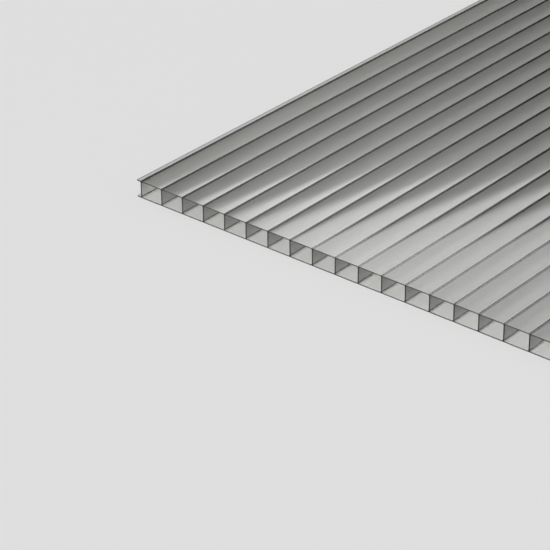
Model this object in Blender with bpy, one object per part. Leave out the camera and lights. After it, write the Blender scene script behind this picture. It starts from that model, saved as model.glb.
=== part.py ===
"""Clear twin-wall polycarbonate sheet, a glazing pane cut from extruded stock.

Two thin skins are joined by a row of upright ribs, which leave a row of open
flutes between them. The whole pane is one extrusion, so its section is drawn
once, as a flat outline with a hole for each flute, and extruded along the flutes.

X runs across the flutes, Y along them and Z through the thickness. The origin is
at the middle of the underside, on the floor that the pane lies on.
"""

import math

import bpy

MM = 0.001

# Driving dimensions, in millimetres
SHEET_THICKNESS = 4.0
SHEET_LENGTH = 610.0  # along the flutes
FLUTE_COUNT = 80
RIB_PITCH = 5.7
SKIN_WALL = 0.25
RIB_WALL = 0.30
ROOT_FILLET = 0.25  # where a rib flows into a skin
EDGE_LIP = 1.0  # how far both skins run on past the last rib's face
FILLET_STEPS = 3

# Places that follow from the sizes
RIB_SPAN = FLUTE_COUNT * RIB_PITCH
FIRST_RIB = -RIB_SPAN / 2
LAST_RIB = RIB_SPAN / 2
EDGE = LAST_RIB + RIB_WALL / 2 + EDGE_LIP
FLOOR = SKIN_WALL
CEILING = SHEET_THICKNESS - SKIN_WALL


def fillet(centre_x, centre_z, start, end):
    """Points of a rib root's arc about its centre, from one angle to another in degrees."""
    points = []
    for step in range(FILLET_STEPS + 1):
        angle = math.radians(start + (end - start) * step / FILLET_STEPS)
        x = centre_x + ROOT_FILLET * math.cos(angle)
        z = centre_z + ROOT_FILLET * math.sin(angle)
        points.append((x, z))
    return points


def flute(index):
    """Outline of one flute: the room between two ribs and the two skins, with filleted roots."""
    left = FIRST_RIB + index * RIB_PITCH + RIB_WALL / 2 + ROOT_FILLET
    right = FIRST_RIB + (index + 1) * RIB_PITCH - RIB_WALL / 2 - ROOT_FILLET
    low = FLOOR + ROOT_FILLET
    high = CEILING - ROOT_FILLET
    return (
        fillet(left, low, 180, 270)
        + fillet(right, low, 270, 360)
        + fillet(right, high, 0, 90)
        + fillet(left, high, 90, 180)
    )


def rim():
    """Outer outline: both skins, and the open channel that their lips leave at each long edge."""
    root_right = LAST_RIB + RIB_WALL / 2 + ROOT_FILLET
    root_left = FIRST_RIB - RIB_WALL / 2 - ROOT_FILLET
    low = FLOOR + ROOT_FILLET
    high = CEILING - ROOT_FILLET
    underside = [(-EDGE, 0), (EDGE, 0)]
    top = [(EDGE, SHEET_THICKNESS), (-EDGE, SHEET_THICKNESS)]
    right_channel = (
        [(EDGE, FLOOR)]
        + fillet(root_right, low, 270, 180)
        + fillet(root_right, high, 180, 90)
        + [(EDGE, CEILING)]
    )
    left_channel = (
        [(-EDGE, CEILING)]
        + fillet(root_left, high, 90, 0)
        + fillet(root_left, low, 0, -90)
        + [(-EDGE, FLOOR)]
    )
    return underside + right_channel + top + left_channel


def add_outline(curve, outline):
    """Adds one closed outline, given in millimetres, to the section."""
    spline = curve.splines.new("POLY")
    spline.points.add(len(outline) - 1)
    for point, (x, z) in zip(spline.points, outline):
        point.co = (x * MM, z * MM, 0, 1)
    spline.use_cyclic_u = True


def clear_polycarbonate():
    """Glossy clear plastic with a faint grey-green cast."""
    material = bpy.data.materials.new("clear_polycarbonate")
    material.use_nodes = True
    shader = material.node_tree.nodes["Principled BSDF"]
    shader.inputs["Base Color"].default_value = (0.80, 0.82, 0.79, 1)
    shader.inputs["Metallic"].default_value = 0
    shader.inputs["Roughness"].default_value = 0.12
    shader.inputs["IOR"].default_value = 1.585
    shader.inputs["Transmission Weight"].default_value = 0.9
    return material


# Start from an empty scene
for item in list(bpy.data.objects):
    bpy.data.objects.remove(item, do_unlink=True)

parts = bpy.data.collections.new("multiwall_polycarbonate_sheet")
bpy.context.scene.collection.children.link(parts)

# The section, filled between its outlines and extruded half the length each way
section = bpy.data.curves.new("twinwall_sheet", "CURVE")
section.dimensions = "2D"
section.fill_mode = "BOTH"
section.extrude = SHEET_LENGTH / 2 * MM
add_outline(section, rim())
for index in range(FLUTE_COUNT):
    add_outline(section, flute(index))
section.materials.append(clear_polycarbonate())

# The section is drawn flat and stood up, so that it is extruded along Y
sheet = bpy.data.objects.new("twinwall_sheet", section)
sheet.rotation_euler = (math.radians(90), 0, 0)
parts.objects.link(sheet)
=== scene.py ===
import bmesh
import bpy
import math
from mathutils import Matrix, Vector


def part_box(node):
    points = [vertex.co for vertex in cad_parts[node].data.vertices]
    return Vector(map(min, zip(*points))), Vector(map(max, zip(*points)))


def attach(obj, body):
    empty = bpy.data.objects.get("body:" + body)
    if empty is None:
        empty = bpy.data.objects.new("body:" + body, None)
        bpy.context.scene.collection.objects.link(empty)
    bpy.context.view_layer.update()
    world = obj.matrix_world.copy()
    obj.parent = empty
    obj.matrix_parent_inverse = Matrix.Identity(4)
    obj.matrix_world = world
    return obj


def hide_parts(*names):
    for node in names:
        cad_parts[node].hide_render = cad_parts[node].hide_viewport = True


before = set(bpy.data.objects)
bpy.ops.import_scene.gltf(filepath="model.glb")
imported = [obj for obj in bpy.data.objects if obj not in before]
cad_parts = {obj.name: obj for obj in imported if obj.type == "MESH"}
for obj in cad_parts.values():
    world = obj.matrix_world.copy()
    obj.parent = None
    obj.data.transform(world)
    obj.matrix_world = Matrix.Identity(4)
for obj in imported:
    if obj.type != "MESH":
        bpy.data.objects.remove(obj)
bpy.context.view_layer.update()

# The sheet is one extrusion of clear polycarbonate: two thin skins held apart by upright ribs. The
# calibrator polishes its outer faces, and the upper one, its weather side, has a faint tint. The
# flute walls cool in still air, so they are duller, and the skins sink a hair over each rib.
# Painted shade: the ribs' grey, darker towards their heads and in their cores, the dark roots, the
# dark line over each rib and the dark cut ends. Painted light: the lighter outermost ribs.

# Sizes of the section, in metres
sheet_low, sheet_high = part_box("twinwall_sheet")
THICKNESS = sheet_high[2] - sheet_low[2]
WIDTH = sheet_high[0] - sheet_low[0]
FLUTE_COUNT = 80
SKIN_WALL = 0.00025
RIB_WALL = 0.0003
ROOT_FILLET = 0.00025
EDGE_LIP = 0.001
RIB_PITCH = (WIDTH - RIB_WALL - 2 * EDGE_LIP) / FLUTE_COUNT
HALF_PITCH = RIB_PITCH / 2
SKIN_REACH = HALF_PITCH - RIB_WALL / 2 - ROOT_FILLET

# The painted shade line over each rib, and how far and how steeply a skin sinks towards it
SHADE_LINE_HALF_WIDTH = 0.00012
LINE_REACH = HALF_PITCH - SHADE_LINE_HALF_WIDTH
SINK_DEPTH = 0.0000165
SINK_CURVE = 2.5

# Faces along a quarter of a flute, and points closer than this are one point
SKIN_STEPS = 12
FILLET_STEPS = 4
RIB_STEPS = 6
WELD_DISTANCE = 0.000001


def sink(x):
    """How far a skin has sunk at a distance from the middle of its flute."""
    return SINK_DEPTH * (x / HALF_PITCH) ** SINK_CURVE


def spread(start, end, steps):
    """Evenly spaced values from start to end, both included."""
    return [start + (end - start) * step / steps for step in range(steps + 1)]


def root_arc(centre_x, centre_z, start, end):
    """Points of a rib root's fillet about its centre, from one angle to another in degrees."""
    turns = [math.radians(angle) for angle in spread(start, end, FILLET_STEPS)]
    return [
        (centre_x + ROOT_FILLET * math.cos(turn), centre_z + ROOT_FILLET * math.sin(turn))
        for turn in turns
    ]


def lower_right_quarter():
    """A quarter of one flute, from its middle to half way up its right rib.

    Each pair is a point on the flute's wall and the point behind it, on the sheet's outer
    face or in the middle of the rib. Behind the fillet's lower half the outer face runs on
    to the rib's middle, and behind its upper half the rib's middle rises.
    """
    root_height = SKIN_WALL + ROOT_FILLET + sink(SKIN_REACH)
    foot = sink(HALF_PITCH)
    pairs = [
        ((x, SKIN_WALL + sink(x)), (x, sink(x))) for x in spread(0, SKIN_REACH, SKIN_STEPS)
    ]
    arc = root_arc(SKIN_REACH, root_height, -90, 0)
    half_way = FILLET_STEPS // 2
    for step in range(1, FILLET_STEPS + 1):
        if step < half_way:
            x = SKIN_REACH + (LINE_REACH - SKIN_REACH) * step / (half_way - 1)
            outer = (x, sink(x))
        else:
            outer = (HALF_PITCH, foot + (root_height - foot) * (step / half_way - 1))
        pairs.append((arc[step], outer))
    for z in spread(root_height, THICKNESS / 2, RIB_STEPS)[1:]:
        pairs.append(((SKIN_REACH + ROOT_FILLET, z), (HALF_PITCH, z)))
    return pairs


def flute_ring():
    """The whole ring of point pairs round one flute, from its quarter."""
    quarter = lower_right_quarter()

    def turned(pair, side, up):
        return tuple((side * x, z if up else THICKNESS - z) for x, z in pair)

    lower_right = [turned(pair, 1, True) for pair in quarter]
    upper_right = [turned(pair, 1, False) for pair in reversed(quarter[:-1])]
    upper_left = [turned(pair, -1, False) for pair in quarter[1:]]
    lower_left = [turned(pair, -1, True) for pair in reversed(quarter[1:-1])]
    return lower_right + upper_right + upper_left + lower_left


def kept_mesh(mesh, name):
    """Keeps a drawn mesh under its name."""
    data = bpy.data.meshes.new(name)
    mesh.to_mesh(data)
    mesh.free()
    return data


def flute_cell():
    """Mesh of the sheet between the middles of two ribs, open where the next cell joins it."""
    ring = flute_ring()
    mesh = bmesh.new()

    def loop(which, y):
        return [mesh.verts.new((pair[which][0], y, pair[which][1])) for pair in ring]

    near_wall, near_outer = loop(0, sheet_low[1]), loop(1, sheet_low[1])
    far_wall, far_outer = loop(0, sheet_high[1]), loop(1, sheet_high[1])
    for i in range(len(ring)):
        j = (i + 1) % len(ring)
        mesh.faces.new((near_outer[i], near_outer[j], near_wall[j], near_wall[i]))
        mesh.faces.new((far_outer[j], far_outer[i], far_wall[i], far_wall[j]))
        mesh.faces.new((near_wall[i], near_wall[j], far_wall[j], far_wall[i]))
        # In the middle of a rib the cell stays open
        if min(abs(ring[i][1][0]), abs(ring[j][1][0])) < HALF_PITCH - WELD_DISTANCE:
            mesh.faces.new((near_outer[j], near_outer[i], far_outer[i], far_outer[j]))
    return kept_mesh(mesh, "flute_cell")


def edge_lip():
    """Mesh of the right long edge: half of the last rib and the two lips that run on past it."""
    foot = sink(HALF_PITCH)
    top = THICKNESS - foot
    centre = RIB_WALL / 2 + ROOT_FILLET
    tip = RIB_WALL / 2 + EDGE_LIP
    outline = [(0, foot), (centre, foot), (tip, foot), (tip, SKIN_WALL)]
    outline += root_arc(centre, SKIN_WALL + ROOT_FILLET, 270, 180)
    outline += root_arc(centre, THICKNESS - SKIN_WALL - ROOT_FILLET, 180, 90)
    outline += [(tip, THICKNESS - SKIN_WALL), (tip, top), (centre, top), (0, top)]
    mesh = bmesh.new()
    near = [mesh.verts.new((x, sheet_low[1], z)) for x, z in outline]
    far = [mesh.verts.new((x, sheet_high[1], z)) for x, z in outline]
    mesh.faces.new(near)
    mesh.faces.new(reversed(far))
    for i in range(len(outline) - 1):
        mesh.faces.new((near[i + 1], near[i], far[i], far[i + 1]))
    return kept_mesh(mesh, "edge_lip")


# Clear plastic takes away a little of the light that passes each face
PASSING_TINT = (0.985, 0.985, 0.98, 1)


def let_light_through(material):
    """Lets lamps and bounced light pass the plastic straight, tinted a little at each face."""
    nodes, links = material.node_tree.nodes, material.node_tree.links
    plastic = nodes["Principled BSDF"]
    path = nodes.new("ShaderNodeLightPath")
    either = nodes.new("ShaderNodeMath")
    either.operation = "MAXIMUM"
    open_air = nodes.new("ShaderNodeBsdfTransparent")
    open_air.inputs["Color"].default_value = PASSING_TINT
    choice = nodes.new("ShaderNodeMixShader")
    links.new(path.outputs["Is Shadow Ray"], either.inputs[0])
    links.new(path.outputs["Is Diffuse Ray"], either.inputs[1])
    links.new(either.outputs[0], choice.inputs[0])
    links.new(plastic.outputs[0], choice.inputs[1])
    links.new(open_air.outputs[0], choice.inputs[2])
    links.new(choice.outputs[0], nodes["Material Output"].inputs["Surface"])


# Marks per metre that the die draws along the flutes and the saw leaves on the cut end, and the
# strengths of a mark between which a face goes from its smoothest to its roughest
ALONG_FLUTES = (1500, 5, 1500)
ACROSS_CUT = (260, 9000, 9000)
FAINT_MARK = 0.3
STRONG_MARK = 0.7

# The sockets of a Mix node that it uses for colours
FIRST_COLOUR = 6
SECOND_COLOUR = 7
MIXED_COLOUR = 2


def draw_marks():
    """Node group for the fine lines that a die or a saw leaves, stretched along one direction."""
    group = bpy.data.node_groups.new("draw_marks", "ShaderNodeTree")
    sockets = group.interface
    sockets.new_socket("Marks per Metre", in_out="INPUT", socket_type="NodeSocketVector")
    sockets.new_socket("Colour", in_out="INPUT", socket_type="NodeSocketColor")
    sockets.new_socket("Shade", in_out="INPUT", socket_type="NodeSocketFloat")
    sockets.new_socket("Smoothest", in_out="INPUT", socket_type="NodeSocketFloat")
    sockets.new_socket("Roughest", in_out="INPUT", socket_type="NodeSocketFloat")
    sockets.new_socket("Colour", in_out="OUTPUT", socket_type="NodeSocketColor")
    sockets.new_socket("Roughness", in_out="OUTPUT", socket_type="NodeSocketFloat")
    sockets.new_socket("Height", in_out="OUTPUT", socket_type="NodeSocketFloat")
    nodes, links = group.nodes, group.links
    given, made = nodes.new("NodeGroupInput"), nodes.new("NodeGroupOutput")
    place = nodes.new("ShaderNodeTexCoord")
    stretch = nodes.new("ShaderNodeVectorMath")
    stretch.operation = "MULTIPLY"
    links.new(place.outputs["Object"], stretch.inputs[0])
    links.new(given.outputs["Marks per Metre"], stretch.inputs[1])
    lines = nodes.new("ShaderNodeTexNoise")
    lines.inputs["Scale"].default_value = 1.0
    lines.inputs["Detail"].default_value = 1.0
    links.new(stretch.outputs[0], lines.inputs["Vector"])
    dullness = nodes.new("ShaderNodeMapRange")
    dullness.inputs["From Min"].default_value = FAINT_MARK
    dullness.inputs["From Max"].default_value = STRONG_MARK
    links.new(lines.outputs[0], dullness.inputs["Value"])
    links.new(given.outputs["Smoothest"], dullness.inputs["To Min"])
    links.new(given.outputs["Roughest"], dullness.inputs["To Max"])
    depth = nodes.new("ShaderNodeMath")
    depth.operation = "MULTIPLY"
    links.new(lines.outputs[0], depth.inputs[0])
    links.new(given.outputs["Shade"], depth.inputs[1])
    darker = nodes.new("ShaderNodeMix")
    darker.data_type = "RGBA"
    darker.inputs[SECOND_COLOUR].default_value = (0, 0, 0, 1)
    links.new(depth.outputs[0], darker.inputs[0])
    links.new(given.outputs["Colour"], darker.inputs[FIRST_COLOUR])
    links.new(darker.outputs[MIXED_COLOUR], made.inputs["Colour"])
    links.new(dullness.outputs[0], made.inputs["Roughness"])
    links.new(lines.outputs[0], made.inputs["Height"])
    return group


DRAW_MARKS = draw_marks()
POLYCARBONATE_IOR = 1.585
POLISH_ROUGHNESS = 0.015


def polycarbonate(name, colour, marks, shade, smoothest, roughest, relief, clear, coat):
    """One finish of the sheet, by its colour, its marks, and how clear and polished it is."""
    material = bpy.data.materials.new(name)
    material.use_nodes = True
    nodes, links = material.node_tree.nodes, material.node_tree.links
    plastic = nodes["Principled BSDF"]
    plastic.inputs["IOR"].default_value = POLYCARBONATE_IOR
    plastic.inputs["Transmission Weight"].default_value = clear
    plastic.inputs["Coat Weight"].default_value = coat
    plastic.inputs["Coat Roughness"].default_value = POLISH_ROUGHNESS
    plastic.inputs["Coat IOR"].default_value = POLYCARBONATE_IOR
    lines = nodes.new("ShaderNodeGroup")
    lines.name = "draw_marks"
    lines.node_tree = DRAW_MARKS
    lines.inputs["Marks per Metre"].default_value = marks
    lines.inputs["Colour"].default_value = colour
    lines.inputs["Shade"].default_value = shade
    lines.inputs["Smoothest"].default_value = smoothest
    lines.inputs["Roughest"].default_value = roughest
    raised = nodes.new("ShaderNodeBump")
    raised.inputs["Distance"].default_value = relief
    links.new(lines.outputs["Height"], raised.inputs["Height"])
    links.new(raised.outputs[0], plastic.inputs["Normal"])
    links.new(lines.outputs["Colour"], plastic.inputs["Base Color"])
    links.new(lines.outputs["Roughness"], plastic.inputs["Roughness"])
    let_light_through(material)
    return material


polished_skin = polycarbonate(
    "polished_skin", (0.96, 0.96, 0.95, 1), ALONG_FLUTES,
    shade=0.03, smoothest=0.02, roughest=0.04, relief=0.000001, clear=1.0, coat=1.0,
)
weather_side = polycarbonate(
    "weather_side", (0.662, 0.668, 0.645, 1), ALONG_FLUTES,
    shade=0.03, smoothest=0.01, roughest=0.03, relief=0.000001, clear=1.0, coat=1.0,
)
flute_lining = polycarbonate(
    "flute_lining", (0.95, 0.95, 0.94, 1), ALONG_FLUTES,
    shade=0.04, smoothest=0.34, roughest=0.40, relief=0.000003, clear=1.0, coat=0.0,
)
# Painted shade: an opaque dark band over each rib, for the light that the rib and its roots turn
# away; only its gloss is real
rib_shade_line = polycarbonate(
    "rib_shade_line", (0.01, 0.01, 0.0098, 1), ALONG_FLUTES,
    shade=0.30, smoothest=0.02, roughest=0.04, relief=0.000002, clear=0.0, coat=1.0,
)
# Painted shade: the ribs are an opaque grey for how dark the clear ribs look, darker towards their
# heads
shaded_rib_wall = polycarbonate(
    "shaded_rib_wall", (0.32, 0.323, 0.31, 1), ALONG_FLUTES,
    shade=0.10, smoothest=0.16, roughest=0.26, relief=0.00001, clear=0.0, coat=0.0,
)
# Painted light: the outermost ribs are a lighter grey, for the light that reaches them from beside
# the sheet
lit_edge_rib = polycarbonate(
    "lit_edge_rib", (0.52, 0.53, 0.50, 1), ALONG_FLUTES,
    shade=0.10, smoothest=0.16, roughest=0.26, relief=0.00001, clear=0.0, coat=0.0,
)
# Painted shade: the rib roots are nearly black, for the light that their fillets turn away
rib_root_shade = polycarbonate(
    "rib_root_shade", (0.03, 0.03, 0.029, 1), ALONG_FLUTES,
    shade=0.10, smoothest=0.16, roughest=0.26, relief=0.00001, clear=0.0, coat=0.0,
)
# Painted shade: the cut ends are nearly black; only their saw marks and roughness are real
shaded_cut_end = polycarbonate(
    "shaded_cut_end", (0.006, 0.006, 0.0059, 1), ACROSS_CUT,
    shade=0.60, smoothest=0.45, roughest=0.70, relief=0.00002, clear=0.0, coat=0.0,
)
# Painted shade on the skins' cut ends, painted a little lighter for the highlight they catch
cut_skin_shade_and_glint = polycarbonate(
    "cut_skin_shade_and_glint", (0.09, 0.09, 0.088, 1), ACROSS_CUT,
    shade=0.60, smoothest=0.25, roughest=0.50, relief=0.00002, clear=0.0, coat=0.0,
)

# Painted shade: colours at the head of the ribs, in the painted shadow along their foot and in
# their core
RIB_HEAD_SHADE = (0.196, 0.198, 0.19, 1)
EDGE_RIB_HEAD_SHADE = (0.30, 0.31, 0.285, 1)
FOOT_SHADOW_WIDTH = 0.0002
FOOT_SHADOW_COLOUR = (0.03, 0.03, 0.029, 1)
CORE_SHADE_COLOUR = (0.01, 0.01, 0.0098, 1)


def paint_rib_shade(material, head):
    """Paints shade on a rib's face, darker from its foot to its head, and a painted shadow in a
    fine line along the foot.
    """
    nodes, links = material.node_tree.nodes, material.node_tree.links
    face_colour = nodes["draw_marks"].inputs["Colour"]
    place = nodes.new("ShaderNodeTexCoord")
    height = nodes.new("ShaderNodeSeparateXYZ")
    rise = nodes.new("ShaderNodeMapRange")
    rise.inputs["From Max"].default_value = THICKNESS
    fade = nodes.new("ShaderNodeMix")
    fade.data_type = "RGBA"
    fade.inputs[FIRST_COLOUR].default_value = face_colour.default_value
    fade.inputs[SECOND_COLOUR].default_value = head
    links.new(place.outputs["Object"], height.inputs[0])
    links.new(height.outputs["Z"], rise.inputs["Value"])
    links.new(rise.outputs[0], fade.inputs[0])
    foot_shadow = nodes.new("ShaderNodeMapRange")
    foot_shadow.inputs["From Min"].default_value = SKIN_WALL + ROOT_FILLET
    foot_shadow.inputs["From Max"].default_value = SKIN_WALL + ROOT_FILLET + FOOT_SHADOW_WIDTH
    links.new(height.outputs["Z"], foot_shadow.inputs["Value"])
    foot_shadowed = nodes.new("ShaderNodeMix")
    foot_shadowed.data_type = "RGBA"
    foot_shadowed.inputs[FIRST_COLOUR].default_value = FOOT_SHADOW_COLOUR
    links.new(foot_shadow.outputs[0], foot_shadowed.inputs[0])
    links.new(fade.outputs[MIXED_COLOUR], foot_shadowed.inputs[SECOND_COLOUR])
    links.new(foot_shadowed.outputs[MIXED_COLOUR], face_colour)


def paint_core_shade(material):
    """Paints shade, nearly black, where a wall is seen from within the plastic, for the light a
    thin rib traps.
    """
    nodes, links = material.node_tree.nodes, material.node_tree.links
    side = nodes.new("ShaderNodeNewGeometry")
    core = nodes.new("ShaderNodeBsdfDiffuse")
    core.inputs["Color"].default_value = CORE_SHADE_COLOUR
    seen = nodes.new("ShaderNodeMixShader")
    links.new(side.outputs["Backfacing"], seen.inputs[0])
    links.new(nodes["Principled BSDF"].outputs[0], seen.inputs[1])
    links.new(core.outputs[0], seen.inputs[2])
    links.new(seen.outputs[0], nodes["Mix Shader"].inputs[1])


paint_rib_shade(shaded_rib_wall, RIB_HEAD_SHADE)
paint_rib_shade(lit_edge_rib, EDGE_RIB_HEAD_SHADE)
for rib_finish in (shaded_rib_wall, lit_edge_rib, rib_root_shade):
    paint_core_shade(rib_finish)

# How much the skins waver, over what width and from where in the waver's own pattern
UNEVENNESS = 0.012
DRIFT_LENGTH = 0.009
DRIFT_START = 3.0

# An edge bent further than this many degrees is sharp. The leans are the shares of a face's
# normal that point sideways or endways, from which a face is taken for a rib, a root or a cut
SHARP_ANGLE = 35
RIB_LEAN = 0.999
ROOT_LEAN = 0.9
HIGH_ROOT_LEAN = 0.5
CUT_LEAN = 0.5

# Share of the skin's wall, from the outer face in, whose cut is the skin's and not the rib's
CUT_SKIN_SHARE = 0.8


def sheet_tree():
    """Geometry Nodes that lay the cells side by side, close the long edges and name the faces."""
    tree = bpy.data.node_groups.new("fluted_sheet", "GeometryNodeTree")
    sockets = tree.interface
    sockets.new_socket("Cell", in_out="INPUT", socket_type="NodeSocketGeometry")
    sockets.new_socket("Edge Lip", in_out="INPUT", socket_type="NodeSocketObject")
    sockets.new_socket("Flute Count", in_out="INPUT", socket_type="NodeSocketInt")
    sockets.new_socket("Rib Pitch", in_out="INPUT", socket_type="NodeSocketFloat")
    sockets.new_socket("Thickness", in_out="INPUT", socket_type="NodeSocketFloat")
    sockets.new_socket("Skin Wall", in_out="INPUT", socket_type="NodeSocketFloat")
    sockets.new_socket("Line Half Width", in_out="INPUT", socket_type="NodeSocketFloat")
    sockets.new_socket("Unevenness", in_out="INPUT", socket_type="NodeSocketFloat")
    sockets.new_socket("Weld Distance", in_out="INPUT", socket_type="NodeSocketFloat")
    sockets.new_socket("Sheet", in_out="OUTPUT", socket_type="NodeSocketGeometry")
    nodes, links = tree.nodes, tree.links

    def node(kind, **settings):
        made = nodes.new(kind)
        for setting, value in settings.items():
            setattr(made, setting, value)
        return made

    def maths(operation, *values):
        made = node("ShaderNodeMath", operation=operation)
        for socket, value in zip(made.inputs, values):
            if isinstance(value, (int, float)):
                socket.default_value = value
            else:
                links.new(value, socket)
        return made.outputs[0]

    def parts_of(kind):
        made = node("ShaderNodeSeparateXYZ")
        links.new(node(kind).outputs[0], made.inputs[0])
        return made.outputs

    def along_x(value):
        made = node("ShaderNodeCombineXYZ")
        links.new(value, made.inputs["X"])
        return made.outputs[0]

    # The cells stand in a row, and the right lip and its mirror image close the long edges
    given = node("NodeGroupInput")
    count, pitch = given.outputs["Flute Count"], given.outputs["Rib Pitch"]
    thickness, skin_wall = given.outputs["Thickness"], given.outputs["Skin Wall"]
    half_span = maths("MULTIPLY", maths("MULTIPLY", count, 0.5), pitch)
    half_cell = maths("MULTIPLY", pitch, 0.5)
    half_thickness = maths("MULTIPLY", thickness, 0.5)
    half_skin = maths("MULTIPLY", skin_wall, 0.5)
    row = node("GeometryNodeMeshLine")
    links.new(count, row.inputs["Count"])
    links.new(along_x(maths("SUBTRACT", half_cell, half_span)), row.inputs["Start Location"])
    links.new(along_x(pitch), row.inputs["Offset"])
    cells = node("GeometryNodeInstanceOnPoints")
    links.new(row.outputs[0], cells.inputs["Points"])
    links.new(given.outputs["Cell"], cells.inputs["Instance"])

    lip_mesh = node("GeometryNodeObjectInfo")
    links.new(given.outputs["Edge Lip"], lip_mesh.inputs["Object"])
    right = node("GeometryNodeTransform")
    links.new(lip_mesh.outputs["Geometry"], right.inputs["Geometry"])
    links.new(along_x(half_span), right.inputs["Translation"])
    left = node("GeometryNodeTransform")
    left.inputs["Scale"].default_value = (-1, 1, 1)
    links.new(right.outputs[0], left.inputs["Geometry"])
    left_out = node("GeometryNodeFlipFaces")
    links.new(left.outputs[0], left_out.inputs[0])

    whole = node("GeometryNodeJoinGeometry")
    for part in (cells, right, left_out):
        links.new(part.outputs[0], whole.inputs[0])
    real = node("GeometryNodeRealizeInstances")
    links.new(whole.outputs[0], real.inputs[0])
    weld = node("GeometryNodeMergeByDistance")
    links.new(real.outputs[0], weld.inputs[0])
    links.new(given.outputs["Weld Distance"], weld.inputs["Distance"])

    # Both skins are drawn a little towards the middle, unevenly across the flutes
    place = parts_of("GeometryNodeInputPosition")
    drift = node("ShaderNodeTexNoise", noise_dimensions="1D")
    drift.inputs["Scale"].default_value = 1 / DRIFT_LENGTH
    drift.inputs["Detail"].default_value = 0.0
    links.new(maths("ADD", place["X"], DRIFT_START), drift.inputs["W"])
    pull = maths("MULTIPLY", drift.outputs[0], given.outputs["Unevenness"])
    to_middle = maths("SUBTRACT", half_thickness, place["Z"])
    upwards = node("ShaderNodeCombineXYZ")
    links.new(maths("MULTIPLY", to_middle, pull), upwards.inputs["Z"])
    uneven = node("GeometryNodeSetPosition")
    links.new(weld.outputs[0], uneven.inputs["Geometry"])
    links.new(upwards.outputs[0], uneven.inputs["Offset"])

    smooth = node("GeometryNodeSetShadeSmooth")
    links.new(uneven.outputs[0], smooth.inputs[0])
    bend = node("GeometryNodeInputMeshEdgeAngle")
    sharp = maths("GREATER_THAN", bend.outputs["Unsigned Angle"], math.radians(SHARP_ANGLE))
    crease = node("GeometryNodeSetShadeSmooth", domain="EDGE")
    crease.inputs["Shade Smooth"].default_value = False
    links.new(smooth.outputs[0], crease.inputs[0])
    links.new(sharp, crease.inputs["Selection"])

    # Which faces are which, by their place and by the way they face. The band over each rib, the
    # roots, the ribs and the cut ends take painted shade, and the outermost ribs painted light
    facing = parts_of("GeometryNodeInputNormal")
    lean = maths("ABSOLUTE", facing["X"])
    sideways = maths("GREATER_THAN", lean, RIB_LEAN)
    endways = maths("GREATER_THAN", maths("ABSOLUTE", facing["Y"]), CUT_LEAN)
    from_middle = maths("ABSOLUTE", to_middle)
    inside = maths("LESS_THAN", from_middle, maths("SUBTRACT", half_thickness, half_skin))
    above = maths("GREATER_THAN", place["Z"], maths("SUBTRACT", thickness, half_skin))
    other_side = maths("MULTIPLY", half_cell, -1)
    from_rib = maths("ABSOLUTE", maths("WRAP", place["X"], half_cell, other_side))
    near_rib = maths("LESS_THAN", from_rib, given.outputs["Line Half Width"])
    rib_shade_band = maths("MULTIPLY", near_rib, above)
    upper_half = maths("GREATER_THAN", place["Z"], half_thickness)
    high_root = maths("MULTIPLY", maths("GREATER_THAN", lean, HIGH_ROOT_LEAN), upper_half)
    root = maths("MAXIMUM", maths("GREATER_THAN", lean, ROOT_LEAN), high_root)
    past_cells = maths("SUBTRACT", half_span, half_cell)
    far_out = maths("GREATER_THAN", maths("ABSOLUTE", place["X"]), past_cells)
    outermost = maths("MULTIPLY", sideways, far_out)
    cut_skin_width = maths("MULTIPLY", skin_wall, CUT_SKIN_SHARE)
    in_skin = maths("GREATER_THAN", from_middle, maths("SUBTRACT", half_thickness, cut_skin_width))
    skin_end = maths("MULTIPLY", endways, in_skin)

    # Each finish covers the faces that it is given, over the finishes before it
    last = crease
    finishes = (
        (polished_skin, None),
        (weather_side, above),
        (rib_shade_line, rib_shade_band),
        (flute_lining, inside),
        (rib_root_shade, root),
        (shaded_rib_wall, sideways),
        (lit_edge_rib, outermost),
        (shaded_cut_end, endways),
        (cut_skin_shade_and_glint, skin_end),
    )
    for material, selection in finishes:
        finish = node("GeometryNodeSetMaterial")
        finish.inputs["Material"].default_value = material
        links.new(last.outputs[0], finish.inputs[0])
        if selection:
            links.new(selection, finish.inputs["Selection"])
        last = finish
    links.new(last.outputs[0], node("NodeGroupOutput").inputs[0])
    return tree


def made_sheet():
    """Runs the tree and keeps its result as a plain mesh."""
    lip = bpy.data.objects.new("edge_lip", edge_lip())
    cell = bpy.data.objects.new("flute_cell", flute_cell())
    for piece in (lip, cell):
        bpy.context.scene.collection.objects.link(piece)
    rows = cell.modifiers.new("fluted_sheet", "NODES")
    rows.node_group = sheet_tree()
    values = {
        "Edge Lip": lip,
        "Flute Count": FLUTE_COUNT,
        "Rib Pitch": RIB_PITCH,
        "Thickness": THICKNESS,
        "Skin Wall": SKIN_WALL,
        "Line Half Width": SHADE_LINE_HALF_WIDTH,
        "Unevenness": UNEVENNESS,
        "Weld Distance": WELD_DISTANCE,
    }
    for socket in rows.node_group.interface.items_tree:
        if socket.name in values:
            rows[socket.identifier] = values[socket.name]
    bpy.context.view_layer.update()
    ready = cell.evaluated_get(bpy.context.evaluated_depsgraph_get())
    data = bpy.data.meshes.new_from_object(ready)
    data.name = "fluted_sheet"
    for piece in (lip, cell):
        bpy.data.objects.remove(piece, do_unlink=True)
    made = bpy.data.objects.new("fluted_sheet", data)
    bpy.context.scene.collection.objects.link(made)
    return made


fluted_sheet = made_sheet()
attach(fluted_sheet, "root")
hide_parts("twinwall_sheet")

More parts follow.
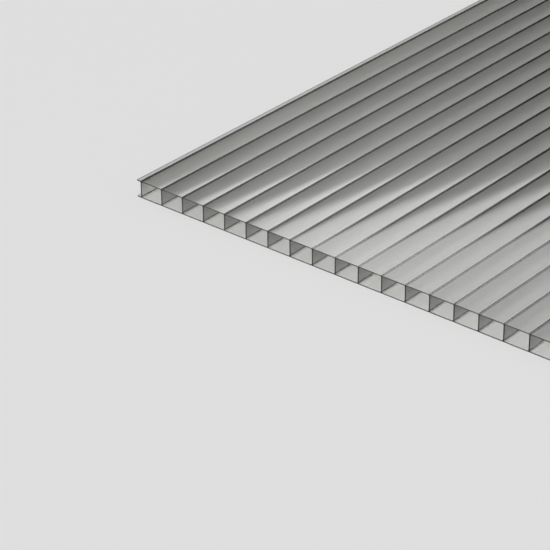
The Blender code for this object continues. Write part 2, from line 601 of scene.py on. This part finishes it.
# The floor is a plain pale studio table, far wider than the sheet that lies on it.
# It is matt, so the sheet's own gloss stands out.
FLOOR_SIZE = 12.0
FLOOR_GAP = 0.0001
TABLE_COLOUR = (0.84, 0.84, 0.84, 1)
TABLE_ROUGHNESS = 0.7
bpy.ops.mesh.primitive_plane_add(size=FLOOR_SIZE, location=(0, 0, -FLOOR_GAP))
floor = bpy.context.object
floor.name = "floor"
pale_table = bpy.data.materials.new("pale_table")
pale_table.use_nodes = True
table_finish = pale_table.node_tree.nodes["Principled BSDF"]
table_finish.inputs["Base Color"].default_value = TABLE_COLOUR
table_finish.inputs["Roughness"].default_value = TABLE_ROUGHNESS
floor.data.materials.append(pale_table)

# The light is a soft pale studio, with a grey screen standing low behind the sheet and a bright
# panel just above it. The top skin mirrors the edge where the two meet, which leans a little, and
# both fade sideways.

# Levels of light, each at its own angle in degrees: first by height, then sideways
ROOM_LEVELS = ((0.0, 0.73), (90.0, 1.0))
SCREEN_LEVELS = ((0.0, 0.14), (24.7, 0.22), (27.75, 0.42), (28.3, 0.0))
PANEL_LEVELS = (
    (27.75, 0.0),
    (28.3, 1.62),
    (29.4, 1.57),
    (30.0, 1.48),
    (30.6, 1.34),
    (31.2, 1.16),
    (32.2, 0.95),
    (60.0, 0.98),
)
SCREEN_FALL_OFF = (
    (0.0, 0.57),
    (1.7, 0.86),
    (2.9, 1.0),
    (4.6, 1.0),
    (6.3, 0.90),
    (9.8, 0.25),
    (11.5, 0.20),
    (17.4, 0.60),
)
PANEL_FALL_OFF = (
    (0.0, 0.70),
    (1.7, 0.86),
    (3.4, 1.0),
    (4.6, 0.99),
    (6.3, 0.89),
    (9.8, 0.60),
    (11.5, 0.52),
    (17.4, 0.85),
)

# The sine of the widest angle of a ramp, by height and sideways
WHOLE_HEIGHT = 1.0
FALL_OFF_SPAN = 0.3

# Ways in the room: straight up, up along the leaning screen, towards the screen, along it
UP = (0.0, 0.0, 1.0)
LEANING_UP = (0.0216, 0.0207, 1.0)
SCREEN_SIDE = (-0.69, 0.72, 0.0)
PANEL_FAR_END = (0.72, 0.69, 0.0)

# How far a direction points towards the screen where the screen begins, and where it is full
SCREEN_BEGINS = 0.68
SCREEN_IS_FULL = 0.83

studio = bpy.data.worlds.new("studio")
bpy.context.scene.world = studio
studio.use_nodes = True
air, wires = studio.node_tree.nodes, studio.node_tree.links
direction = air.new("ShaderNodeTexCoord")


def reach(way):
    """How far each direction of the studio points in one way, from 0 across it to 1 along it."""
    share = air.new("ShaderNodeVectorMath")
    share.operation = "DOT_PRODUCT"
    share.inputs[1].default_value = way
    wires.new(direction.outputs["Generated"], share.inputs[0])
    return share.outputs["Value"]


def grey_ramp(value, stops, span):
    """A ramp of grey levels over the sine of an angle, which runs from 0 to the span."""
    share = air.new("ShaderNodeMapRange")
    share.inputs["From Max"].default_value = span
    wires.new(value, share.inputs["Value"])
    glow = air.new("ShaderNodeValToRGB")
    wires.new(share.outputs[0], glow.inputs[0])
    ramp = glow.color_ramp.elements
    while len(ramp) < len(stops):
        ramp.new(0.5)
    for stop, (angle, level) in zip(ramp, stops):
        stop.position = math.sin(math.radians(angle)) / span
        stop.color = (level, level, level, 1)
    return glow.outputs[0]


def lit_surface(levels, fall_off):
    """Light of a standing surface, by height and by place along it."""
    light = air.new("ShaderNodeVectorMath")
    light.operation = "MULTIPLY"
    wires.new(grey_ramp(reach(LEANING_UP), levels, WHOLE_HEIGHT), light.inputs[0])
    wires.new(grey_ramp(reach(PANEL_FAR_END), fall_off, FALL_OFF_SPAN), light.inputs[1])
    return light.outputs[0]


on_screen = air.new("ShaderNodeMapRange")
on_screen.interpolation_type = "SMOOTHSTEP"
on_screen.inputs["From Min"].default_value = SCREEN_BEGINS
on_screen.inputs["From Max"].default_value = SCREEN_IS_FULL
wires.new(reach(SCREEN_SIDE), on_screen.inputs["Value"])
screen_and_panel = air.new("ShaderNodeVectorMath")
wires.new(lit_surface(SCREEN_LEVELS, SCREEN_FALL_OFF), screen_and_panel.inputs[0])
wires.new(lit_surface(PANEL_LEVELS, PANEL_FALL_OFF), screen_and_panel.inputs[1])
room = air.new("ShaderNodeMix")
room.data_type = "RGBA"
wires.new(on_screen.outputs[0], room.inputs[0])
wires.new(grey_ramp(reach(UP), ROOM_LEVELS, WHOLE_HEIGHT), room.inputs[FIRST_COLOUR])
wires.new(screen_and_panel.outputs[0], room.inputs[SECOND_COLOUR])
wires.new(room.outputs[MIXED_COLOUR], air["Background"].inputs["Color"])

# The camera looks down on the cut corner from its right, through a long lens.
# Its place was worked out from the evenly spaced cut ends of the ribs, in metres and degrees.
CORNER_RIB = (-FLUTE_COUNT * RIB_PITCH / 2, sheet_low[1], SKIN_WALL / 2)
CAMERA_FROM_CORNER = (0.29623, -0.30764, 0.22341)
CAMERA_TURN = (60.390, 0.524, 39.935)
LENS_LENGTH = 151.9
SENSOR_WIDTH = 36
NEAREST_SEEN = 0.01
lens = bpy.data.cameras.new("camera")
lens.lens = LENS_LENGTH
lens.sensor_width = SENSOR_WIDTH
lens.clip_start = NEAREST_SEEN
camera = bpy.data.objects.new("camera", lens)
bpy.context.scene.collection.objects.link(camera)
camera.location = [a + b for a, b in zip(CORNER_RIB, CAMERA_FROM_CORNER)]
camera.rotation_euler = [math.radians(angle) for angle in CAMERA_TURN]
bpy.context.scene.camera = camera
bpy.context.scene.view_settings.view_transform = "Standard"
